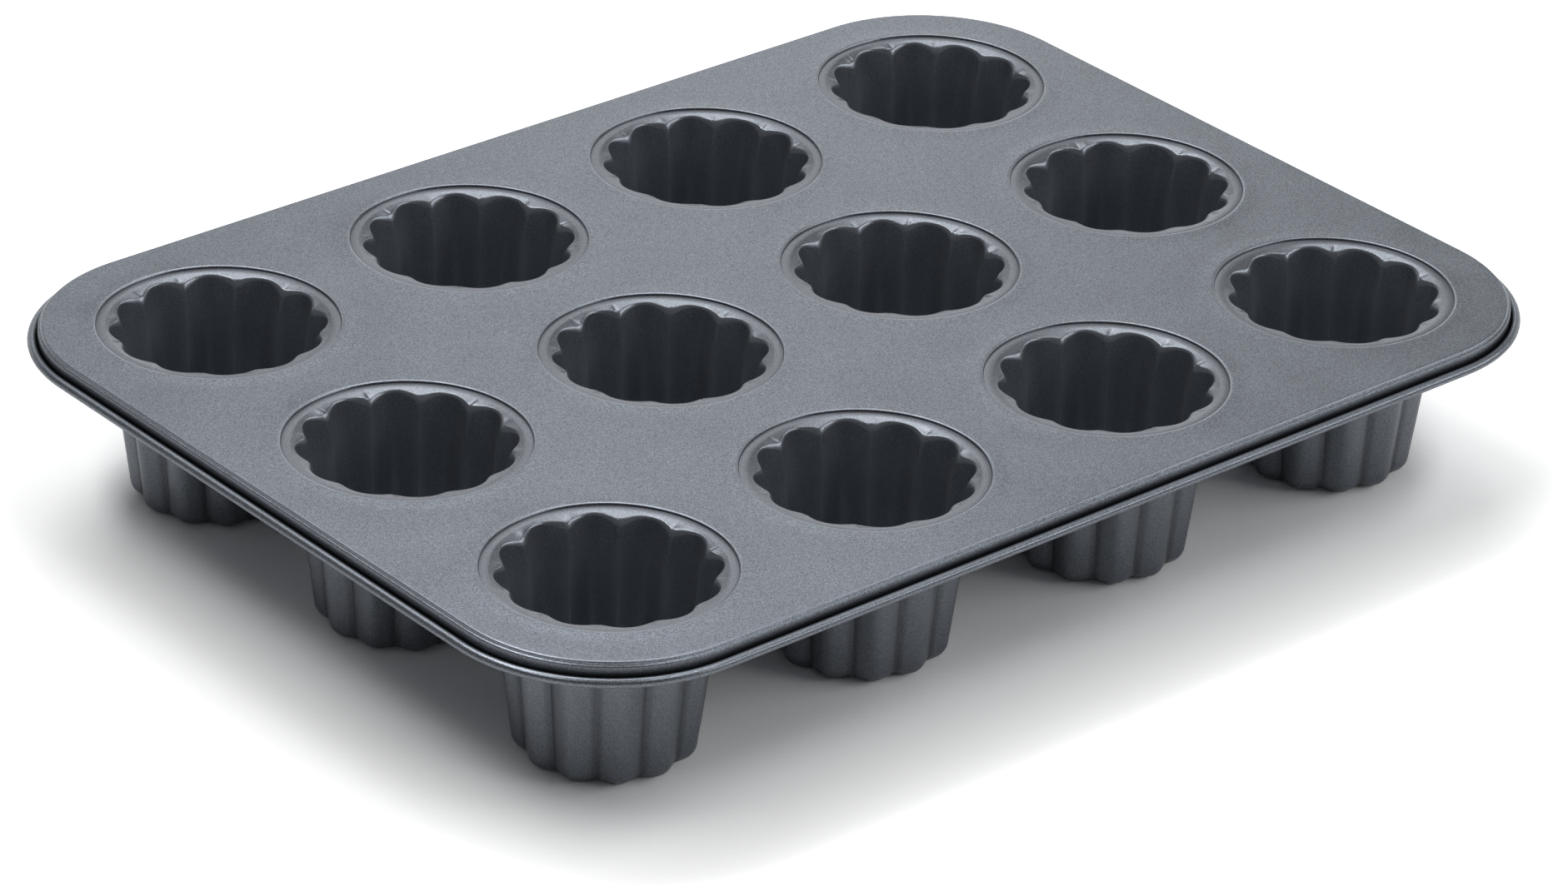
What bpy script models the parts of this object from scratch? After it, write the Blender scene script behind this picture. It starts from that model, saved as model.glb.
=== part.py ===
"""Twelve-cup fluted cake mould: a pressed tray with a rolled rim and twelve deep fluted cups seated in it.

Metres, +Z up. The origin is on the table, under the middle of the tray.
"""
import math

import bmesh
import bpy

# Layout of the cups in the tray
CUPS_X = 4
CUPS_Y = 3
PITCH_X = 0.079
PITCH_Y = 0.078
MOULD_HEIGHT = 0.048

# Tray sheet and outline; the margin runs from an outer cup's centre to the edge of the flat top
TRAY_SHEET = 0.0006
EDGE_MARGIN = 0.0434
CORNER_RADIUS = 0.041

# Edge of the tray: rounded edge, narrow step, wall, valley and rolled bead
EDGE_ROUND = 0.0005
STEP_DROP = 0.0008
STEP_WIDTH = 0.0005
WALL_DROP = 0.0043
WALL_LEAN = 0.0002
VALLEY_WIDTH = 0.0003
VALLEY_DROP = 0.0006
BEAD_RADIUS = 0.0012
BEAD_START = math.radians(200)
BEAD_SWEEP = math.radians(340)

# Cup: radii and depths are those of the inside of the sheet, radii on the ridge of a flute, and
# the shares are the parts of a flute's width that its ridge and its groove take
CUP_SHEET = 0.0006
FLUTES = 12
RIDGE_RADIUS = 0.0272
WALL_TAPER = math.radians(6.7)
FLUTE_DEPTH_TOP = 0.0031
FLUTE_DEPTH_BOTTOM = 0.0021
RIDGE_SHARE_TOP = 0.40
RIDGE_SHARE_BOTTOM = 0.18
GROOVE_SHARE = 0.09
LIP_WIDTH = 0.0012
LIP_DEPTH_RIDGE = 0.0006
LIP_DEPTH_GROOVE = 0.0026
FLANGE_SHOWN = 0.0026
FLANGE_LAP = 0.0030
BOTTOM_RADIUS = 0.0044

# Free space left between the tray and the flanges under it
SEAT_GAP = 0.0003

# Facets
SEAT_POINTS = 36
FLANGE_POINTS = 24
CORNER_STEPS = 6
BEAD_STEPS = 8
BOTTOM_STEPS = 2
SMOOTH_ANGLE = math.radians(40)

# Coating
COATING_COLOUR = (0.085, 0.095, 0.115)
COATING_METALLIC = 0.55
TRAY_ROUGHNESS = 0.38
CUP_ROUGHNESS = 0.32

# Sizes that follow from the ones above
SPAN_X = (CUPS_X - 1) * PITCH_X
SPAN_Y = (CUPS_Y - 1) * PITCH_Y
LIP_RADIUS = RIDGE_RADIUS + LIP_WIDTH
SEAT_RADIUS = LIP_RADIUS + FLANGE_SHOWN
FLANGE_TOP = MOULD_HEIGHT - TRAY_SHEET - SEAT_GAP


def clear_scene():
    """Removes whatever the file holds."""
    for old in list(bpy.data.objects):
        bpy.data.objects.remove(old, do_unlink=True)


def coating(name, roughness):
    """Dark blue-grey non-stick coating."""
    material = bpy.data.materials.new(name)
    material.use_nodes = True
    shader = material.node_tree.nodes["Principled BSDF"]
    shader.inputs["Base Color"].default_value = (*COATING_COLOUR, 1.0)
    shader.inputs["Metallic"].default_value = COATING_METALLIC
    shader.inputs["Roughness"].default_value = roughness
    material.diffuse_color = (*COATING_COLOUR, 1.0)
    return material


def add_loop(bm, points):
    """Adds the points as the vertices of a closed loop."""
    return [bm.verts.new(point) for point in points]


def bridge(bm, first, second):
    """Joins two loops that start at the same turn with a band of faces, also where one has more points."""
    i = 0
    j = 0
    while i < len(first) or j < len(second):
        a = first[i % len(first)]
        b = second[j % len(second)]
        next_a = first[(i + 1) % len(first)]
        next_b = second[(j + 1) % len(second)]
        lead = (i + 1) * len(second) - (j + 1) * len(first)
        if lead == 0:
            bm.faces.new((a, next_a, next_b, b))
        elif lead < 0:
            bm.faces.new((a, next_a, b))
        else:
            bm.faces.new((a, next_b, b))
        i += lead <= 0
        j += lead >= 0


def loop_edges(bm, loop):
    """Edges between neighbours in a loop."""
    return [bm.edges.get((a, b)) for a, b in zip(loop, loop[1:] + loop[:1])]


def finished_mesh(bm, name, material):
    """Turns the bmesh into a smooth-shaded mesh with its faces pointing out."""
    bmesh.ops.recalc_face_normals(bm, faces=bm.faces)
    mesh = bpy.data.meshes.new(name)
    bm.to_mesh(mesh)
    bm.free()
    mesh.shade_smooth()
    mesh.set_sharp_from_angle(angle=SMOOTH_ANGLE)
    mesh.materials.append(material)
    return mesh


def place(mesh, name, x, y):
    """Adds the mesh to the scene as an object of its own."""
    piece = bpy.data.objects.new(name, mesh)
    piece.location = (x, y, 0.0)
    bpy.context.scene.collection.objects.link(piece)
    return piece


def cup_centres():
    """Yields row, column and centre of each cup, from the front left."""
    for row in range(CUPS_Y):
        for column in range(CUPS_X):
            yield row, column, column * PITCH_X - SPAN_X / 2, row * PITCH_Y - SPAN_Y / 2


def circle(radius, height, count, x=0.0, y=0.0):
    """Points of a level circle."""
    turns = [math.tau * k / count for k in range(count)]
    return [(x + radius * math.cos(a), y + radius * math.sin(a), height) for a in turns]


def flute_circle(ridge, depth, ridge_share, groove_drop=0.0):
    """Points of a fluted outline: ridge is the radius and height of its ridges, and its grooves lie
    in from them by the depth and down by the drop."""
    ridge_radius, ridge_height = ridge
    groove_radius = ridge_radius - depth
    groove_height = ridge_height - groove_drop
    corners = [
        (-ridge_share / 2, ridge_radius, ridge_height),
        (ridge_share / 2, ridge_radius, ridge_height),
        (0.5 - GROOVE_SHARE / 2, groove_radius, groove_height),
        (0.5 + GROOVE_SHARE / 2, groove_radius, groove_height),
    ]
    points = []
    for flute in range(FLUTES):
        for share, radius, height in corners:
            turn = math.tau * (flute + share) / FLUTES
            points.append((radius * math.cos(turn), radius * math.sin(turn), height))
    return points


def cup_section():
    """Radius and height of each corner of the cup's inside, from the flange in and down to the floor."""
    wall_top = FLANGE_TOP - LIP_DEPTH_RIDGE
    wall_foot = CUP_SHEET + BOTTOM_RADIUS * (1.0 - math.sin(WALL_TAPER))
    foot_radius = RIDGE_RADIUS - (wall_top - wall_foot) * math.tan(WALL_TAPER)
    bend_centre = foot_radius - BOTTOM_RADIUS * math.cos(WALL_TAPER)
    section = [
        (SEAT_RADIUS + FLANGE_LAP, FLANGE_TOP),
        (LIP_RADIUS, FLANGE_TOP),
        (RIDGE_RADIUS, wall_top),
    ]
    for k in range(BOTTOM_STEPS + 1):
        turn = WALL_TAPER + (math.pi / 2 - WALL_TAPER) * k / BOTTOM_STEPS
        radius = bend_centre + BOTTOM_RADIUS * math.cos(turn)
        height = CUP_SHEET + BOTTOM_RADIUS * (1.0 - math.sin(turn))
        section.append((radius, height))
    section.append((0.0, CUP_SHEET))
    return section


def offset_section(section, distance):
    """Moves an open section to its left by the distance, with mitred corners."""
    normals = []
    for (r1, z1), (r2, z2) in zip(section, section[1:]):
        length = math.hypot(r2 - r1, z2 - z1)
        normals.append(((z1 - z2) / length, (r2 - r1) / length))
    moved = []
    for k, (radius, height) in enumerate(section):
        before = normals[max(k - 1, 0)]
        after = normals[min(k, len(normals) - 1)]
        reach = distance / (1.0 + before[0] * after[0] + before[1] * after[1])
        moved.append((radius + reach * (before[0] + after[0]), height + reach * (before[1] + after[1])))
    return moved


def cup_skin(bm, section):
    """One side of the cup's sheet: round flange, lip, fluted wall, rounded lower edge and floor."""
    flange, lip, wall_top, *bend = section[:-1]
    groove_drop = LIP_DEPTH_GROOVE - LIP_DEPTH_RIDGE
    loops = [
        add_loop(bm, circle(*flange, FLANGE_POINTS)),
        add_loop(bm, circle(*lip, SEAT_POINTS)),
        add_loop(bm, flute_circle(wall_top, FLUTE_DEPTH_TOP, RIDGE_SHARE_TOP, groove_drop)),
    ]
    for corner in bend:
        loops.append(add_loop(bm, flute_circle(corner, FLUTE_DEPTH_BOTTOM, RIDGE_SHARE_BOTTOM)))
    for upper, lower in zip(loops, loops[1:]):
        bridge(bm, upper, lower)
    bm.faces.new(loops[-1])
    return loops[0]


def cup_mesh(material):
    """A deep drawn cup, its outside one sheet away from its inside."""
    bm = bmesh.new()
    inside = cup_section()
    inner_edge = cup_skin(bm, inside)
    outer_edge = cup_skin(bm, offset_section(inside, CUP_SHEET))
    bridge(bm, inner_edge, outer_edge)
    return finished_mesh(bm, "cup", material)


def tray_outline(outset, height):
    """Points of the tray's rounded outline, moved out by outset."""
    corner_x = SPAN_X / 2 + EDGE_MARGIN - CORNER_RADIUS
    corner_y = SPAN_Y / 2 + EDGE_MARGIN - CORNER_RADIUS
    radius = CORNER_RADIUS + outset
    points = []
    for quarter, (side_x, side_y) in enumerate(((1, 1), (-1, 1), (-1, -1), (1, -1))):
        for k in range(CORNER_STEPS + 1):
            turn = (quarter + k / CORNER_STEPS) * math.pi / 2
            x = side_x * corner_x + radius * math.cos(turn)
            y = side_y * corner_y + radius * math.sin(turn)
            points.append((x, y, height))
    return points


def rim_section():
    """Outset and height of each corner of the rim's section, from the flat top round the bead and back."""
    top = MOULD_HEIGHT
    wall_foot = STEP_WIDTH + WALL_LEAN
    bead_out = wall_foot + VALLEY_WIDTH + BEAD_RADIUS
    bead_height = top - WALL_DROP
    section = [
        (-EDGE_ROUND, top),
        (0.0, top - EDGE_ROUND),
        (0.0, top - STEP_DROP),
        (STEP_WIDTH, top - STEP_DROP),
        (wall_foot, bead_height),
    ]
    for k in range(BEAD_STEPS + 1):
        turn = BEAD_START - BEAD_SWEEP * k / BEAD_STEPS
        section.append((bead_out + BEAD_RADIUS * math.cos(turn), bead_height + BEAD_RADIUS * math.sin(turn)))
    section += [
        (wall_foot, bead_height - VALLEY_DROP - TRAY_SHEET),
        (wall_foot - TRAY_SHEET, bead_height - VALLEY_DROP),
        (STEP_WIDTH - TRAY_SHEET, top - STEP_DROP - TRAY_SHEET),
        (-TRAY_SHEET, top - STEP_DROP - TRAY_SHEET / 2),
        (-TRAY_SHEET, top - TRAY_SHEET),
    ]
    return section


def tray_mesh(material):
    """The pressed tray: flat top with twelve round seats, turned-down edge and rolled bead."""
    bm = bmesh.new()
    rim = [add_loop(bm, tray_outline(outset, height)) for outset, height in rim_section()]
    for upper, lower in zip(rim, rim[1:]):
        bridge(bm, upper, lower)
    top_edges = loop_edges(bm, rim[0])
    under_edges = loop_edges(bm, rim[-1])
    for _, _, x, y in cup_centres():
        seat_top = add_loop(bm, circle(SEAT_RADIUS, MOULD_HEIGHT, SEAT_POINTS, x, y))
        seat_under = add_loop(bm, circle(SEAT_RADIUS, MOULD_HEIGHT - TRAY_SHEET, SEAT_POINTS, x, y))
        bridge(bm, seat_top, seat_under)
        top_edges += loop_edges(bm, seat_top)
        under_edges += loop_edges(bm, seat_under)
    for edges in (top_edges, under_edges):
        bmesh.ops.triangle_fill(bm, edges=edges, use_beauty=True, normal=(0.0, 0.0, 1.0))
    return finished_mesh(bm, "tray", material)


def build():
    """Makes the tray and seats the cups in it."""
    clear_scene()
    place(tray_mesh(coating("tray_coating", TRAY_ROUGHNESS)), "tray", 0.0, 0.0)
    cup = cup_mesh(coating("cup_coating", CUP_ROUGHNESS))
    for row, column, x, y in cup_centres():
        place(cup, f"cup_{row + 1}_{column + 1}", x, y)


build()
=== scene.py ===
"""Looks of the fluted cake mould: fine tray and cups, speckled coating, floor, lights and camera."""
import math
import random

import bmesh
import bpy
from mathutils import Matrix, Vector


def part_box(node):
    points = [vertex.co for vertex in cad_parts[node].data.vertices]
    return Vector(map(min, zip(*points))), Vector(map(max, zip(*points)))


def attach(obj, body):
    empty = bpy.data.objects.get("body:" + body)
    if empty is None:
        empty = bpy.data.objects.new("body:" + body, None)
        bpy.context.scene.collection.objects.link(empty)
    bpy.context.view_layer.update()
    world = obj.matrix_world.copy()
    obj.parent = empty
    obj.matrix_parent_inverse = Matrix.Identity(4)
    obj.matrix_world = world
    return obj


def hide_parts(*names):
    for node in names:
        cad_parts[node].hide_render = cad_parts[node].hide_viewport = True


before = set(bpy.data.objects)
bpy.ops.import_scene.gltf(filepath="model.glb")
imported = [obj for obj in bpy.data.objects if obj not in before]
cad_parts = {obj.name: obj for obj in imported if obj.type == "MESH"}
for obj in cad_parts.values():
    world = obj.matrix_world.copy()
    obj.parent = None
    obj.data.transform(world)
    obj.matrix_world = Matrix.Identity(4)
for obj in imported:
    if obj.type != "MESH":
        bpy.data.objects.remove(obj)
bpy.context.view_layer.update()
random.seed(12)

# Sizes that the tray and the cups share, in metres. The rings round the seats stand RING_RISE
# above the flat top, so the flat top lies that much below the top of the solids
ROWS = 3
COLUMNS = 4
SHEET = 0.0006
SEAT_RADIUS = 0.0305
RING_RISE = 0.0001

# Tray: its corners, how far the rim reaches past the flat top, and the bead of its edge. The bead is
# a circle in the rim's section, in millimetres, drawn over SWEEP degrees from START
CORNER_RADIUS = 0.0410
RIM_REACH = 0.00337
BEAD_OUTSET = 2.19
BEAD_HEIGHT = -4.32
BEAD_RADIUS = 1.18
BEAD_START = 205
BEAD_SWEEP = 345
BEAD_STEPS = 28

# Cup: radii are those of the inside on the ridge of a flute, MOUTH_DEPTH below the flange. The lip
# starts LIP_WIDER_OUTSIDE further out on the outside of the sheet
FLUTES = 12
RIDGE_RADIUS = 0.0271
MOUTH_DEPTH = 0.0016
LIP_RADIUS = 0.0284
LIP_WIDER_OUTSIDE = 0.0004
WALL_TAPER = math.radians(6.7)
BOTTOM_RADIUS = 0.0044

# Flange: its depth below the flat top, and rows of radius and drop from its edge to the lip. The
# part under the tray's sheet lies FLANGE_STEP lower
FLANGE_DROP = 0.00046
FLANGE_RADIUS = 0.0336
FLANGE_STEP = 0.00022
FLANGE_ROWS = (
    (FLANGE_RADIUS, FLANGE_STEP),
    (FLANGE_RADIUS - 0.0006, FLANGE_STEP),
    (SEAT_RADIUS + 0.00105, FLANGE_STEP),
    (SEAT_RADIUS + 0.0005, 0.0),
    (SEAT_RADIUS - 0.0010, 0.0),
)

# Flutes: how far their flat faces fall in over half a flute, and the shares of it over which the
# ridge and the groove are rounded, wide at the mouth and narrow from SHARP_DROP down
FACE_FALL_TOP = 0.00375
FACE_FALL_BOTTOM = 0.00255
RIDGE_SHARE_TOP = 0.68
RIDGE_SHARE = 0.25
GROOVE_SHARE_TOP = 0.20
GROOVE_SHARE = 0.10
SHARP_DROP = 0.008

# Lip: it slopes in, then rounds over into the wall, by so far in and down on a ridge and in a groove
LIP_SLOPE = 0.22
ROUND_REACH_RIDGE = 0.0004
ROUND_REACH_GROOVE = 0.0007
ROUND_DEPTH_RIDGE = 0.0007
ROUND_DEPTH_GROOVE = 0.0021

# Small faults of the drawn mouth: how far a groove strays along the rim, in flutes, and across it,
# and the drop over which that fades
STRAY_ALONG = 0.045
STRAY_ACROSS = 0.00022
STRAY_DROP = 0.006

# Puckers of the lip: how far they stray from their groove, and the ranges of their width and depth.
# Strays and widths are in flutes. Each groove has a broad one, and some have a sharp one too. They are
# deepest past the middle of the lip, by PUCKER_LEAN
SHARP_PUCKER = (0.06, (0.020, 0.045), (0.00005, 0.0002))
BROAD_PUCKER = (0.15, (0.05, 0.12), (-0.0002, 0.0002))
SHARP_CHANCE = 0.5
PUCKER_LEAN = 1.5

# Scuffed coating and painted highlight, 0 to 1, which lighten the colour: on the top's edge above
# EDGE_HEIGHT, on the crest of the bead, which is above CREST_HEIGHT and outside CREST_OUTSET, and on the
# ring round a seat inside RING_OUTSET. Each is partly scuffed coating and partly a painted highlight on a
# rounded edge.
# Outsets and heights here and in the next group are in millimetres
EDGE_WEAR_AND_HIGHLIGHT = 0.6
EDGE_HEIGHT = -0.3
CREST_WEAR_AND_HIGHLIGHT = 0.3
CREST_HEIGHT = -3.3
CREST_OUTSET = 1.9
RING_WEAR_AND_HIGHLIGHT = 0.8
RING_OUTSET = 0.6

# Painted shade and a painted dark reflection, 0 to 1, which darken the colour: painted shade down the
# valley between the rim's wall and its bead, darker towards its bottom, a painted dark reflection in a
# band along the front of the bead, and painted shade in the crevice at the edge of the tray's sheet round
# a seat
VALLEY_PAINTED_SHADE = 0.9
VALLEY_OUTSET = 0.4
VALLEY_DROP = 0.8
VALLEY_FADE = 1.6
VALLEY_END_OUTSET = 1.3
VALLEY_END_HEIGHT = -3.5
BEAD_DARK_REFLECTION = 0.45
BEAD_DARK_OUTSET = 2.2
BEAD_DARK_HEIGHT = -4.0
BEAD_DARK_WIDTH = 0.35
SEAT_PAINTED_SHADE = 0.9
SEAT_DARK_OUTSET = 0.2
SEAT_DARK_HEIGHTS = (-0.5, -0.06)

# Cups' coating: scuffed and with a painted highlight on the lip's edge between two shares of the way in,
# painted lighter inside below a drop, most in the grooves, and painted shade in the outer grooves.
# GROOVE_STRIPE is the width of a groove's stripe in half flutes, and the stripes fade out over
# CUP_FLOOR_FADE down to CUP_FLOOR_REACH on the floor
LIP_WEAR_AND_HIGHLIGHT = 0.65
LIP_WORN_AND_LIT_SHARES = (0.85, 0.995)
INSIDE_PAINTED_LIGHT = 0.5
INSIDE_LIGHT_DROP = 0.003
INSIDE_LIGHT_FADE = 0.006
GROOVE_PAINTED_SHADE = 0.40
GROOVE_STRIPE = 0.27
CUP_FLOOR_REACH = 0.0165
CUP_FLOOR_FADE = 0.003

# Coatings: colour, and the darkest and lightest share of it in the flakes. The grain makes the
# flakes, over GRAIN_RANGE of its noise, and the clouds vary the scuffed and painted-light places and the
# roughness. Scuffed places with painted highlight and painted light, and places of painted shade, have a
# share of the colour
TRAY_COATING = ((0.19, 0.21, 0.24), 0.60, 1.84)
CUP_COATING = ((0.175, 0.19, 0.215), 0.82, 1.58)
METALLIC = 0.70
ROUGHNESS = 0.30
ROUGHNESS_SPREAD = 0.03
GRAIN_NOISE = {"Scale": 3200.0, "Detail": 2.0, "Roughness": 0.6}
GRAIN_RANGE = (0.34, 0.70)
GRAIN_BUMP = {"Strength": 0.5, "Distance": 0.00004}
CLOUD_NOISE = {"Scale": 45.0, "Detail": 3.0, "Roughness": 0.55}
CLOUD_RANGE = (0.3, 0.7)
WORN_AND_LIT_SHARE = 2.1
PAINTED_SHADE_SHARE = 0.06

# Camera: it faces the point CAMERA_AIM_HEIGHT above the middle of the floor from CAMERA_DISTANCE, and
# is then moved to its right and up. Lens and sensor are in millimetres, and it sees things that are
# NEAREST to FARTHEST away
CAMERA_AZIMUTH = math.radians(-41.056)
CAMERA_ELEVATION = math.radians(28.327)
CAMERA_ROLL = math.radians(1.980)
CAMERA_AIM_HEIGHT = 0.0479
CAMERA_RIGHT = 0.000458
CAMERA_UP = -0.035787
CAMERA_DISTANCE = 1.612679
LENS = 146.638
SENSOR_WIDTH = 36.0
NEAREST = 0.05
FARTHEST = 50.0

# Floor and surroundings: the floor's colour for the light it gives off to other surfaces, in
# reflections, and as the camera sees it, which makes it white where no shadow falls
FLOOR_HALF = 6.0
FLOOR_GAP = 0.0001
FLOOR_COLOUR = 0.9
FLOOR_MIRRORED = 1.0
FLOOR_SEEN = 1.57
WORLD_LEVEL = 0.10

# Soft boxes: name, turn, rise, width and height in degrees as seen from the mould, and strength.
# Turn 0 is behind the mould, and 90 is to its right as the camera sees it
LIGHT_DISTANCE = 8.0
SOFT_BOXES = (
    ("back_left", -40, 60, 20.6, 20, 5.2),
    ("back", 0, 60, 20.6, 20, 2.9),
    ("back_right", 40, 60, 20.6, 20, 0.6),
    ("back_strip", -5, 42.5, 14.8, 15, 2.5),
    ("back_low", 0, 20, 9.4, 10, 1.0),
    ("backdrop", 0, 11, 110, 20, 0.8),
    ("right_low", 90, 25, 55.3, 20, 2.55),
    ("top_right", 100, 65, 39.1, 10, 5.1),
    ("top_left", 260, 65, 39.1, 10, 6.4),
)

# Mesh resolution. FLUTE_STEPS are those of half a flute: ridge, flat face and groove. The wall's rows
# lie closer together at the top, by WALL_GRADING, and the cup's floor has loops at CUP_FLOOR_SHARES
# of the way out
FLUTE_STEPS = (4, 4, 6)
SLOPE_STEPS = 5
LIP_STEPS = 10
WALL_STEPS = 8
WALL_GRADING = 1.5
BEND_STEPS = 8
CUP_FLOOR_SHARES = (0.96, 0.88, 0.5)
HOLE_POINTS = 192
CORNER_STEPS = 28
ARC_STEP = math.radians(15)
SHARP_ANGLE = math.radians(50.0)


def ramp(value, start, length):
    """Share of the way, 0 to 1, that a value is past the start of a ramp with a length."""
    return min(1.0, max(0.0, (value - start) / length))


def between(first, last, share):
    """Number at a share of the way from first to last."""
    return first + (last - first) * share


def rotated(vector, angle):
    """Flat vector turned by an angle."""
    c, s = math.cos(angle), math.sin(angle)
    return Vector((vector.x * c - vector.y * s, vector.x * s + vector.y * c))


def mesh_object(name, bm, material):
    """Object with a smooth-shaded mesh made from the bmesh, its faces pointing out."""
    bmesh.ops.recalc_face_normals(bm, faces=bm.faces)
    mesh = bpy.data.meshes.new(name)
    bm.to_mesh(mesh)
    bm.free()
    mesh.shade_smooth()
    mesh.set_sharp_from_angle(angle=SHARP_ANGLE)
    mesh.materials.append(material)
    piece = bpy.data.objects.new(name, mesh)
    bpy.context.scene.collection.objects.link(piece)
    return piece


def new_bmesh():
    """Empty bmesh with scuffed coating and painted light, and painted shade, on each vertex."""
    bm = bmesh.new()
    bm.verts.layers.float.new("wear_and_painted_light")
    bm.verts.layers.float.new("dark")
    return bm


def add_loop(bm, points, wear_and_painted_light, dark):
    """Adds a closed loop of vertices with their scuffed and painted-light level and their painted shade,
    each one value or a list.
    """
    loop = [bm.verts.new(point) for point in points]
    for name, values in (("wear_and_painted_light", wear_and_painted_light), ("dark", dark)):
        layer = bm.verts.layers.float.get(name)
        values = values if isinstance(values, list) else [values] * len(loop)
        for vert, value in zip(loop, values):
            vert[layer] = value
    return loop


def join_loops(bm, loops):
    """Bands of quads between loops with equal counts."""
    for first, second in zip(loops, loops[1:]):
        for k in range(len(first)):
            n = (k + 1) % len(first)
            bm.faces.new((first[k], first[n], second[n], second[k]))


def loop_edges(bm, loop):
    """Edges between neighbours in a loop."""
    return [bm.edges.get((a, b)) for a, b in zip(loop, loop[1:] + loop[:1])]


def rounded(corners):
    """Section through corners (outset, height, radius). A radius turns a corner into an arc."""
    points = []
    for k, (x, z, radius) in enumerate(corners):
        here = Vector((x, z))
        if radius == 0.0:
            points.append(here)
            continue
        before = (Vector(corners[k - 1][:2]) - here).normalized()
        after = (Vector(corners[k + 1][:2]) - here).normalized()
        half = before.angle(after) / 2
        reach = radius / math.tan(half)
        centre = here + (before + after).normalized() * (radius / math.sin(half))
        start = here + before * reach - centre
        end = here + after * reach - centre
        turn = start.angle_signed(end)
        steps = max(2, math.ceil(abs(turn) / ARC_STEP))
        points += [centre + rotated(start, -turn * step / steps) for step in range(steps + 1)]
    return points


def tray_outline(half_x, half_y, outset, height):
    """Points of the tray's rounded outline, moved out by outset."""
    radius = CORNER_RADIUS + outset
    points = []
    for quarter, (side_x, side_y) in enumerate(((1, 1), (-1, 1), (-1, -1), (1, -1))):
        for k in range(CORNER_STEPS + 1):
            turn = (quarter + k / CORNER_STEPS) * math.pi / 2
            x = side_x * (half_x - CORNER_RADIUS) + radius * math.cos(turn)
            y = side_y * (half_y - CORNER_RADIUS) + radius * math.sin(turn)
            points.append((x, y, height))
    return points


def circle(x, y, radius, height):
    """Points of a level circle."""
    turns = [math.tau * k / HOLE_POINTS for k in range(HOLE_POINTS)]
    return [(x + radius * math.cos(a), y + radius * math.sin(a), height) for a in turns]


def rim_section():
    """Rim's section from the flat top round the bead to the underside, in millimetres.

    Outset is from the edge of the flat top, and height from the flat top.
    """
    section = rounded([
        (-1.6, 0.0, 0.0),
        (-1.0, 0.0, 0.0),
        (0.0, 0.0, 0.5),
        (0.0, -0.80, 0.25),
        (0.60, -0.92, 0.45),
        (0.70, -2.0, 0.0),
        (0.74, -3.0, 0.0),
        (0.78, -4.0, 0.0),
        (0.82, -4.78, 0.2),
        (1.04, -4.84, 0.0),
    ])
    for k in range(BEAD_STEPS + 1):
        turn = math.radians(BEAD_START - BEAD_SWEEP * k / BEAD_STEPS)
        outset = BEAD_OUTSET + BEAD_RADIUS * math.cos(turn)
        height = BEAD_HEIGHT + BEAD_RADIUS * math.sin(turn)
        section.append(Vector((outset, height)))
    section += rounded([
        (1.20, -5.12, 0.0),
        (0.66, -5.45, 0.3),
        (0.10, -4.90, 0.3),
        (-0.10, -1.42, 0.3),
        (-0.60, -1.25, 0.25),
        (-0.60, -0.60, 0.1),
        (-1.2, -0.60, 0.0),
    ])
    return section


def seat_section():
    """Section of the ring round a seat, from the flat top to the underside, in millimetres.

    Outset is from the seat's edge, and height from the flat top.
    """
    return rounded([
        (6.6, 0.0, 0.0),
        (5.8, 0.0, 0.0),
        (4.6, 0.008, 0.0),
        (3.4, 0.035, 0.0),
        (2.2, 0.070, 0.0),
        (1.5, 0.090, 0.0),
        (1.1, 0.098, 0.0),
        (0.90, 0.10, 0.0),
        (0.70, 0.092, 0.0),
        (0.50, 0.070, 0.0),
        (0.25, 0.03, 0.12),
        (0.0, -0.44, 0.02),
        (0.6, -0.44, 0.0),
        (1.1, -0.60, 0.0),
        (1.9, -0.60, 0.0),
    ])


def rim_scuffs_and_painted_shading(outset, height):
    """Level of scuffed coating with painted highlight, and of painted shade and painted dark reflection,
    at a point of the rim's section.
    """
    # Lighter on the top's edge and on the bead's crest: scuffed coating and a painted highlight.
    wear_and_painted_light = 0.0
    if EDGE_HEIGHT < height < 0.0:
        wear_and_painted_light = EDGE_WEAR_AND_HIGHLIGHT
    elif height > CREST_HEIGHT and outset > CREST_OUTSET:
        wear_and_painted_light = CREST_WEAR_AND_HIGHLIGHT
    # Darker in a band along the bead's front: a painted dark reflection. Darker down the valley, most at
    # its bottom: painted shade.
    dark = 0.0
    if outset > BEAD_DARK_OUTSET:
        dark = BEAD_DARK_REFLECTION * math.exp(-((height - BEAD_DARK_HEIGHT) / BEAD_DARK_WIDTH) ** 2)
    elif outset >= VALLEY_END_OUTSET:
        dark = VALLEY_PAINTED_SHADE if height < VALLEY_END_HEIGHT else 0.0
    elif outset > VALLEY_OUTSET:
        dark = VALLEY_PAINTED_SHADE * ramp(-height, VALLEY_DROP, VALLEY_FADE)
    return wear_and_painted_light, dark


def seat_scuffs_and_painted_shading(outset, height):
    """Level of scuffed coating with painted highlight, and of painted shade in the crevice, at a point of
    a seat's section.
    """
    # Lighter on the ring's top edge: scuffed coating and a painted highlight. Darker on the sheet's edge:
    # painted shade in the crevice.
    wear_and_painted_light = RING_WEAR_AND_HIGHLIGHT if height > 0.0 and outset < RING_OUTSET else 0.0
    lowest, highest = SEAT_DARK_HEIGHTS
    dark = SEAT_PAINTED_SHADE if lowest < height < highest and outset < SEAT_DARK_OUTSET else 0.0
    return wear_and_painted_light, dark


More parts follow.
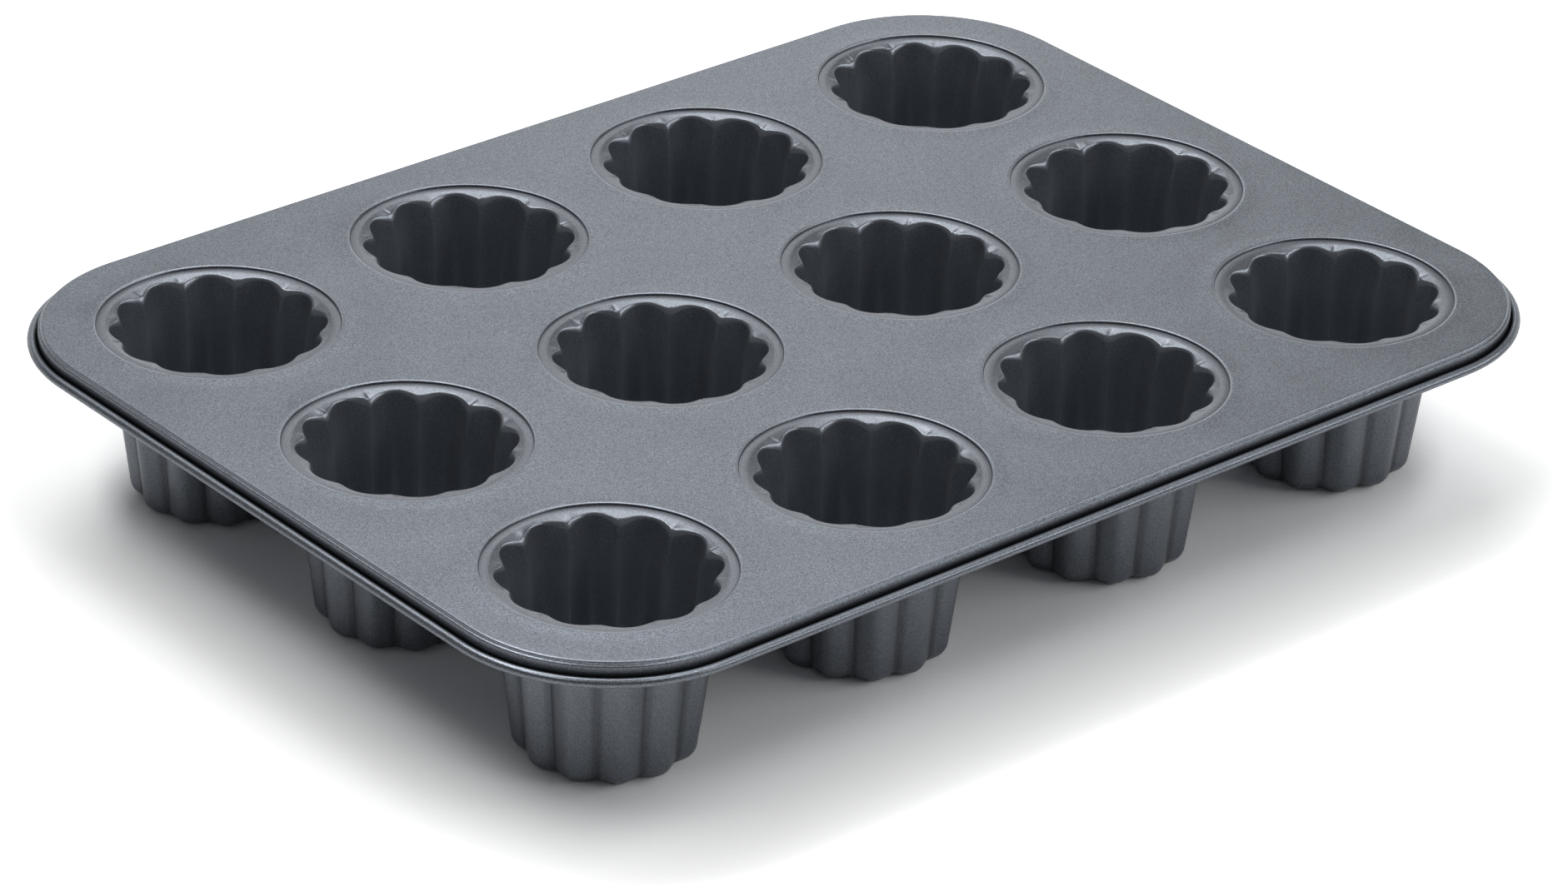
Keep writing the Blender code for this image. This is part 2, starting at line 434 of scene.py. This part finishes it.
def tray_piece(material, centres):
    """The pressed tray with rounded edges, step, valley, rolled bead and twelve seats."""
    low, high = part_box("tray")
    half_x = (high.x - low.x) / 2 - RIM_REACH
    half_y = (high.y - low.y) / 2 - RIM_REACH
    top = high.z - RING_RISE
    bm = new_bmesh()
    rim = []
    for outset, height in rim_section():
        points = tray_outline(half_x, half_y, outset / 1000, top + height / 1000)
        rim.append(add_loop(bm, points, *rim_scuffs_and_painted_shading(outset, height)))
    join_loops(bm, rim)
    top_edges = loop_edges(bm, rim[0])
    under_edges = loop_edges(bm, rim[-1])
    for x, y in centres:
        seat = []
        for outset, height in seat_section():
            points = circle(x, y, SEAT_RADIUS + outset / 1000, top + height / 1000)
            seat.append(add_loop(bm, points, *seat_scuffs_and_painted_shading(outset, height)))
        join_loops(bm, seat)
        top_edges += loop_edges(bm, seat[0])
        under_edges += loop_edges(bm, seat[-1])
    for edges in (top_edges, under_edges):
        bmesh.ops.triangle_fill(bm, edges=edges, use_beauty=True, normal=(0.0, 0.0, 1.0))
    return mesh_object("tray_shell", bm, material)


def flute_places():
    """Places round the cup, in flutes, closer together on the ridges and in the grooves."""
    bounds = (0.0, RIDGE_SHARE, 1.0 - GROOVE_SHARE_TOP, 1.0)
    half = []
    for first, last, steps in zip(bounds, bounds[1:], FLUTE_STEPS):
        half += [between(first, last, k / steps) for k in range(steps)]
    places = []
    for number in range(FLUTES):
        places += [number + across / 2 for across in half]
        places.append(number + 0.5)
        places += [number + 1.0 - across / 2 for across in reversed(half[1:])]
    return places


def flute_fall(place, drop):
    """How far the sheet falls in at a place, in units of a flat face's fall over half a flute."""
    soft = max(0.0, 1.0 - drop / SHARP_DROP)
    ridge = between(RIDGE_SHARE, RIDGE_SHARE_TOP, soft)
    groove = between(GROOVE_SHARE, GROOVE_SHARE_TOP, soft)
    across = 2.0 * abs(place - round(place))
    if across < ridge:
        return across ** 2 / (2 * ridge)
    if across > 1.0 - groove:
        return 1.0 - (ridge + groove) / 2 - (1.0 - across) ** 2 / (2 * groove)
    return across - ridge / 2


def wall_spot(places, k, drop, offset, wall_depth, inward=0.0):
    """Point k of the fluted wall at a drop below the flange, moved out square to the sheet by offset."""
    fall = between(FACE_FALL_TOP, FACE_FALL_BOTTOM, ramp(drop, MOUTH_DEPTH, wall_depth - MOUTH_DEPTH))
    ridge = RIDGE_RADIUS - (min(drop, wall_depth) - MOUTH_DEPTH) * math.tan(WALL_TAPER) - inward
    near = []
    for n in (k - 1, k, (k + 1) % len(places)):
        turn = math.tau * places[n] / FLUTES
        radius = ridge - fall * flute_fall(places[n], drop)
        near.append(Vector((radius * math.cos(turn), radius * math.sin(turn))))
    along = (near[1] - near[0]).normalized() + (near[2] - near[1]).normalized()
    return near[1] + Vector((along.y, -along.x)).normalized() * offset


def lip_row(places, turns, slope, angle, sheet, wall_depth):
    """Row of the lip: slope is the share of its sloping part, and angle how far it has rounded over."""
    lip_radius = LIP_RADIUS + (LIP_WIDER_OUTSIDE if sheet else 0.0)
    deepest = flute_fall(0.5, 0.0)
    row = []
    for k, turn in enumerate(turns):
        fallen = flute_fall(places[k], 0.0)
        reach = between(ROUND_REACH_RIDGE, ROUND_REACH_GROOVE, fallen / deepest)
        depth = between(ROUND_DEPTH_RIDGE, ROUND_DEPTH_GROOVE, fallen / deepest)
        width = LIP_RADIUS - RIDGE_RADIUS + FACE_FALL_TOP * fallen
        shelf = 1.0 - reach / width
        across = shelf * slope + (1.0 - shelf) * math.sin(angle)
        sunk = LIP_SLOPE * width * shelf * slope + depth * (1.0 - math.cos(angle))
        sunk += LIP_SLOPE * reach * math.sin(angle)
        inner = wall_spot(places, k, sunk, sheet, wall_depth)
        spot = turn * lip_radius + (inner - turn * lip_radius) * across
        row.append((spot, sheet + sunk, across))
    return row


def cup_rows(sheet):
    """Rows of one side of the cup's sheet about its axis, from the flange's edge to the floor.

    Sheet is 0 for the inside. Each point has its place across, its drop below the flange and the
    share of the way in over the lip.
    """
    floor_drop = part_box("tray")[1].z - RING_RISE - FLANGE_DROP - SHEET
    bend = BOTTOM_RADIUS + sheet
    wall_depth = floor_drop - BOTTOM_RADIUS * (1.0 - math.sin(WALL_TAPER))
    places = flute_places()
    turns = []
    for place in places:
        turn = math.tau * place / FLUTES
        turns.append(Vector((math.cos(turn), math.sin(turn))))

    rows = []
    for radius, drop in FLANGE_ROWS:
        rows.append([(turn * radius, sheet + drop, 0.0) for turn in turns])
    lip = [(step / SLOPE_STEPS, 0.0) for step in range(SLOPE_STEPS)]
    lip += [(1.0, math.pi / 2 * step / LIP_STEPS) for step in range(LIP_STEPS + 1)]
    for slope, angle in lip:
        rows.append(lip_row(places, turns, slope, angle, sheet, wall_depth))
    lip_foot = rows[-1]
    for step in range(1, WALL_STEPS + 1):
        share = (step / WALL_STEPS) ** WALL_GRADING
        row = []
        for k, (_, start, _) in enumerate(lip_foot):
            drop = between(start, wall_depth, share)
            row.append((wall_spot(places, k, drop, sheet, wall_depth), drop, 1.0))
        rows.append(row)
    for step in range(1, BEND_STEPS + 1):
        angle = WALL_TAPER + (math.pi / 2 - WALL_TAPER) * step / BEND_STEPS
        inward = BOTTOM_RADIUS * (math.cos(WALL_TAPER) - math.cos(angle))
        drop = floor_drop + sheet - bend * (1.0 - math.sin(angle))
        offset = sheet * math.cos(angle)
        row = []
        for k in range(len(places)):
            row.append((wall_spot(places, k, wall_depth, offset, wall_depth, inward), drop, 1.0))
        rows.append(row)
    last = rows[-1]
    for share in CUP_FLOOR_SHARES:
        rows.append([(spot * share, drop, 1.0) for spot, drop, _ in last])
    return rows


def draw_pucker(place, stray, width, depth):
    """Pucker near a place: its middle, width and depth, drawn at random."""
    return place + random.uniform(-stray, stray), random.uniform(*width), random.uniform(*depth)


def make_puckers():
    """Small puckers that the press left in a cup's lip."""
    puckers = []
    for number in range(FLUTES):
        place = number + 0.5
        if random.random() < SHARP_CHANCE:
            puckers.append(draw_pucker(place, *SHARP_PUCKER))
        puckers.append(draw_pucker(place, *BROAD_PUCKER))
    return puckers


def puckered(puckers, place, inward):
    """How far the lip is pushed down at a place, by how far in it lies, 0 to 1."""
    push = 0.0
    for middle, width, depth in puckers:
        away = (place - middle + FLUTES / 2) % FLUTES - FLUTES / 2
        push += depth * math.exp(-(away / width) ** 2)
    return push * math.sin(math.pi * inward ** PUCKER_LEAN)


def make_strays():
    """How far each groove of a cup's mouth lies from its even place, along the rim and across it."""
    strays = []
    for _ in range(FLUTES):
        along = random.uniform(-STRAY_ALONG, STRAY_ALONG)
        across = random.uniform(-STRAY_ACROSS, STRAY_ACROSS)
        strays.append((along, across))
    return strays


def strayed(strays, place, spot, share):
    """The spot moved by the strays of the grooves on both sides of it, times a share."""
    first = math.floor(place - 0.5)
    blend = place - 0.5 - first
    blend = blend * blend * (3.0 - 2.0 * blend)
    before, after = strays[first % FLUTES], strays[(first + 1) % FLUTES]
    along = between(before[0], after[0], blend) * math.tau / FLUTES * share
    across = (before[1] * (1.0 - blend) ** 3 + after[1] * blend ** 3) * share
    return rotated(spot, along) * (1.0 + across / spot.length)


def groove_stripe(place):
    """Strength of a groove's stripe at a place round the cup: 1 in the groove, 0 on the ridge."""
    away = 1.0 - 2.0 * abs(place - round(place))
    return math.exp(-(away / GROOVE_STRIPE) ** 4)


def cup_scuffs_and_painted_shading(row, stripes, outside):
    """Levels of scuffed coating with painted highlight and painted light inside, and of painted shade in
    the outer grooves, at each point of a row, by the grooves' stripes.
    """
    spot, drop, _ = row[0]
    wall = ramp(spot.length, CUP_FLOOR_REACH, CUP_FLOOR_FADE)
    first, last = LIP_WORN_AND_LIT_SHARES
    # Lighter on the lip's edge: scuffed coating and a painted highlight. Lighter inside, most in the
    # grooves: painted light. Darker in the outer grooves: painted shade.
    edge = LIP_WEAR_AND_HIGHLIGHT if first < min(inward for _, _, inward in row) < last else 0.0
    deep = 0.0 if outside else ramp(drop, INSIDE_LIGHT_DROP, INSIDE_LIGHT_FADE)
    level = GROOVE_PAINTED_SHADE if outside else 0.0
    wear_and_light_levels = [edge + deep * between(INSIDE_PAINTED_LIGHT, 1.0, stripe * wall) for stripe in stripes]
    painted_shades = [level * stripe * wall * inward for stripe, (_, _, inward) in zip(stripes, row)]
    return wear_and_light_levels, painted_shades


def cup_piece(name, material, x, y, flange, inside, outside):
    """A deep drawn cup: flange, rolled lip, fluted tapering wall, rounded lower edge and flat floor."""
    bm = new_bmesh()
    places = flute_places()
    puckers = make_puckers()
    strays = make_strays()
    stripes = [groove_stripe(place) for place in places]
    loops = []
    for rows, is_outside in ((reversed(inside), False), (outside, True)):
        for row in rows:
            points = []
            for place, (spot, drop, inward) in zip(places, row):
                spot = strayed(strays, place, spot, inward * math.exp(-drop / STRAY_DROP))
                height = flange - drop - puckered(puckers, place, inward)
                points.append((x + spot.x, y + spot.y, height))
            loops.append(add_loop(bm, points, *cup_scuffs_and_painted_shading(row, stripes, is_outside)))
    join_loops(bm, loops)
    for loop in (loops[0], loops[-1]):
        middle = bm.verts.new((x, y, loop[0].co.z))
        for k in range(len(loop)):
            bm.faces.new((loop[k - 1], loop[k], middle))
    return mesh_object(name, bm, material)


def link(tree, source, output, target, socket):
    """Connects two sockets by name or number."""
    tree.links.new(source.outputs[output], target.inputs[socket])


def add_node(tree, kind, values):
    """New node with input values set by name."""
    node = tree.nodes.new(kind)
    for name, value in values.items():
        node.inputs[name].default_value = value
    return node


def add_attribute(tree, name):
    """Node that reads a value of the mesh's vertices."""
    node = tree.nodes.new("ShaderNodeAttribute")
    node.attribute_name = name
    return node


def add_mix(tree, factor, output, first, first_output, colour):
    """Node that mixes a node's colour with a fixed colour, by the factor node's output."""
    node = tree.nodes.new("ShaderNodeMix")
    node.data_type = "RGBA"
    link(tree, factor, output, node, "Factor")
    link(tree, first, first_output, node, "A")
    node.inputs["B"].default_value = colour
    return node


def share_of(colour, share):
    """Colour times a share, with full alpha."""
    return (*[c * share for c in colour], 1.0)


def coating(name, colour, darkest, lightest):
    """Dark blue-grey non-stick coating: metallic flakes, fine grain, scuffed places with painted light,
    and painted shade.

    The flakes run from the darkest to the lightest share of the colour.
    """
    material = bpy.data.materials.new(name)
    material.use_nodes = True
    tree = material.node_tree
    shader = tree.nodes["Principled BSDF"]
    shader.inputs["Metallic"].default_value = METALLIC
    coordinates = tree.nodes.new("ShaderNodeTexCoord")

    grain = add_node(tree, "ShaderNodeTexNoise", GRAIN_NOISE)
    link(tree, coordinates, "Object", grain, "Vector")
    clouds = add_node(tree, "ShaderNodeTexNoise", CLOUD_NOISE)
    link(tree, coordinates, "Object", clouds, "Vector")

    tint = tree.nodes.new("ShaderNodeValToRGB")
    first, last = tint.color_ramp.elements
    first.position, last.position = GRAIN_RANGE
    first.color = share_of(colour, darkest)
    last.color = share_of(colour, lightest)
    link(tree, grain, "Fac", tint, "Fac")

    # Scuffed places, painted highlights and painted light lighten the colour.
    worn_and_lit = tree.nodes.new("ShaderNodeMath")
    worn_and_lit.operation = "MULTIPLY"
    link(tree, add_attribute(tree, "wear_and_painted_light"), "Fac", worn_and_lit, 0)
    link(tree, clouds, "Fac", worn_and_lit, 1)
    rubbed_and_lit = add_mix(tree, worn_and_lit, 0, tint, "Color", share_of(colour, WORN_AND_LIT_SHARE))
    # Painted shade and a painted dark reflection darken the colour.
    dark = add_attribute(tree, "dark")
    shaded = add_mix(tree, dark, "Fac", rubbed_and_lit, "Result", share_of(colour, PAINTED_SHADE_SHARE))
    link(tree, shaded, "Result", shader, "Base Color")

    rough = add_node(tree, "ShaderNodeMapRange", {
        "From Min": CLOUD_RANGE[0],
        "From Max": CLOUD_RANGE[1],
        "To Min": ROUGHNESS - ROUGHNESS_SPREAD,
        "To Max": ROUGHNESS + ROUGHNESS_SPREAD,
    })
    link(tree, clouds, "Fac", rough, "Value")
    link(tree, rough, "Result", shader, "Roughness")

    bump = add_node(tree, "ShaderNodeBump", GRAIN_BUMP)
    link(tree, grain, "Fac", bump, "Height")
    link(tree, bump, "Normal", shader, "Normal")
    return material


def make_camera():
    """Camera at the photograph's viewing angle."""
    back = Vector((
        math.sin(CAMERA_AZIMUTH) * math.cos(CAMERA_ELEVATION),
        -math.cos(CAMERA_AZIMUTH) * math.cos(CAMERA_ELEVATION),
        math.sin(CAMERA_ELEVATION),
    ))
    level = Vector((math.cos(CAMERA_AZIMUTH), math.sin(CAMERA_AZIMUTH), 0.0))
    upright = back.cross(level)
    right = level * math.cos(CAMERA_ROLL) + upright * math.sin(CAMERA_ROLL)
    up = upright * math.cos(CAMERA_ROLL) - level * math.sin(CAMERA_ROLL)
    place = right * CAMERA_RIGHT + up * CAMERA_UP + back * CAMERA_DISTANCE
    place += Vector((0.0, 0.0, CAMERA_AIM_HEIGHT))
    data = bpy.data.cameras.new("camera")
    data.sensor_fit = "HORIZONTAL"
    data.sensor_width = SENSOR_WIDTH
    data.lens = LENS
    data.clip_start = NEAREST
    data.clip_end = FARTHEST
    camera = bpy.data.objects.new("camera", data)
    camera.matrix_world = Matrix.Translation(place) @ Matrix((right, up, back)).transposed().to_4x4()
    bpy.context.scene.collection.objects.link(camera)
    bpy.context.scene.camera = camera


def make_floor():
    """White floor that keeps the mould's shadow."""
    bm = bmesh.new()
    bmesh.ops.create_grid(bm, x_segments=1, y_segments=1, size=FLOOR_HALF)
    mesh = bpy.data.meshes.new("floor")
    bm.to_mesh(mesh)
    bm.free()
    material = bpy.data.materials.new("floor")
    material.use_nodes = True
    tree = material.node_tree
    tree.nodes.remove(tree.nodes["Principled BSDF"])
    shader = tree.nodes.new("ShaderNodeBsdfDiffuse")
    link(tree, shader, 0, tree.nodes["Material Output"], "Surface")
    path = tree.nodes.new("ShaderNodeLightPath")
    level = None
    for ray, value in (
        ("Is Glossy Ray", FLOOR_MIRRORED),
        ("Is Transmission Ray", FLOOR_MIRRORED),
        ("Is Camera Ray", FLOOR_SEEN),
    ):
        below = level
        level = add_node(tree, "ShaderNodeMapRange", {"To Min": FLOOR_COLOUR, "To Max": value})
        link(tree, path, ray, level, "Value")
        if below:
            link(tree, below, "Result", level, "To Min")
    link(tree, level, "Result", shader, "Color")
    mesh.materials.append(material)
    floor = bpy.data.objects.new("floor", mesh)
    floor.location.z = -FLOOR_GAP
    bpy.context.scene.collection.objects.link(floor)


def make_world():
    """Dim even surroundings."""
    world = bpy.data.worlds.new("studio")
    bpy.context.scene.world = world
    world.use_nodes = True
    background = world.node_tree.nodes["Background"]
    background.inputs["Color"].default_value = (1.0, 1.0, 1.0, 1.0)
    background.inputs["Strength"].default_value = WORLD_LEVEL


def soft_box(name, turn, rise, width, height, strength):
    """Soft box that faces the mould, placed and sized in degrees as seen from it; turn 0 is behind it."""
    turn = math.radians(turn)
    rise = math.radians(rise)
    behind = Vector((-math.sin(CAMERA_AZIMUTH), math.cos(CAMERA_AZIMUTH), 0.0))
    right = Vector((math.cos(CAMERA_AZIMUTH), math.sin(CAMERA_AZIMUTH), 0.0))
    toward = (behind * math.cos(turn) + right * math.sin(turn)) * math.cos(rise)
    toward.z = math.sin(rise)
    data = bpy.data.lights.new(name, "AREA")
    data.shape = "RECTANGLE"
    data.size = 2 * LIGHT_DISTANCE * math.tan(math.radians(width) / 2)
    data.size_y = 2 * LIGHT_DISTANCE * math.tan(math.radians(height) / 2)
    data.energy = math.pi * data.size * data.size_y * strength
    light = bpy.data.objects.new(name, data)
    light.location = toward * LIGHT_DISTANCE
    light.rotation_euler = (-toward).to_track_quat("-Z", "Y").to_euler()
    bpy.context.scene.collection.objects.link(light)


def make_lights():
    """Soft boxes behind, above and at both sides of the mould; the camera's side stays dark."""
    for box in SOFT_BOXES:
        soft_box(*box)


def build():
    """Dresses the frame and sets the stage."""
    tray_coating = coating("tray_coating", *TRAY_COATING)
    cup_coating = coating("cup_coating", *CUP_COATING)
    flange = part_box("tray")[1].z - RING_RISE - FLANGE_DROP
    inside, outside = cup_rows(0.0), cup_rows(SHEET)
    centres = []
    for row in range(1, ROWS + 1):
        for column in range(1, COLUMNS + 1):
            low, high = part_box(f"cup_{row}_{column}")
            x, y = (low.x + high.x) / 2, (low.y + high.y) / 2
            centres.append((x, y))
            cup = cup_piece(f"cup_shell_{row}_{column}", cup_coating, x, y, flange, inside, outside)
            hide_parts(f"cup_{row}_{column}")
            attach(cup, "root")
    tray = tray_piece(tray_coating, centres)
    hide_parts("tray")
    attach(tray, "root")
    make_floor()
    make_world()
    make_lights()
    make_camera()
    bpy.context.scene.view_settings.view_transform = "Standard"


build()
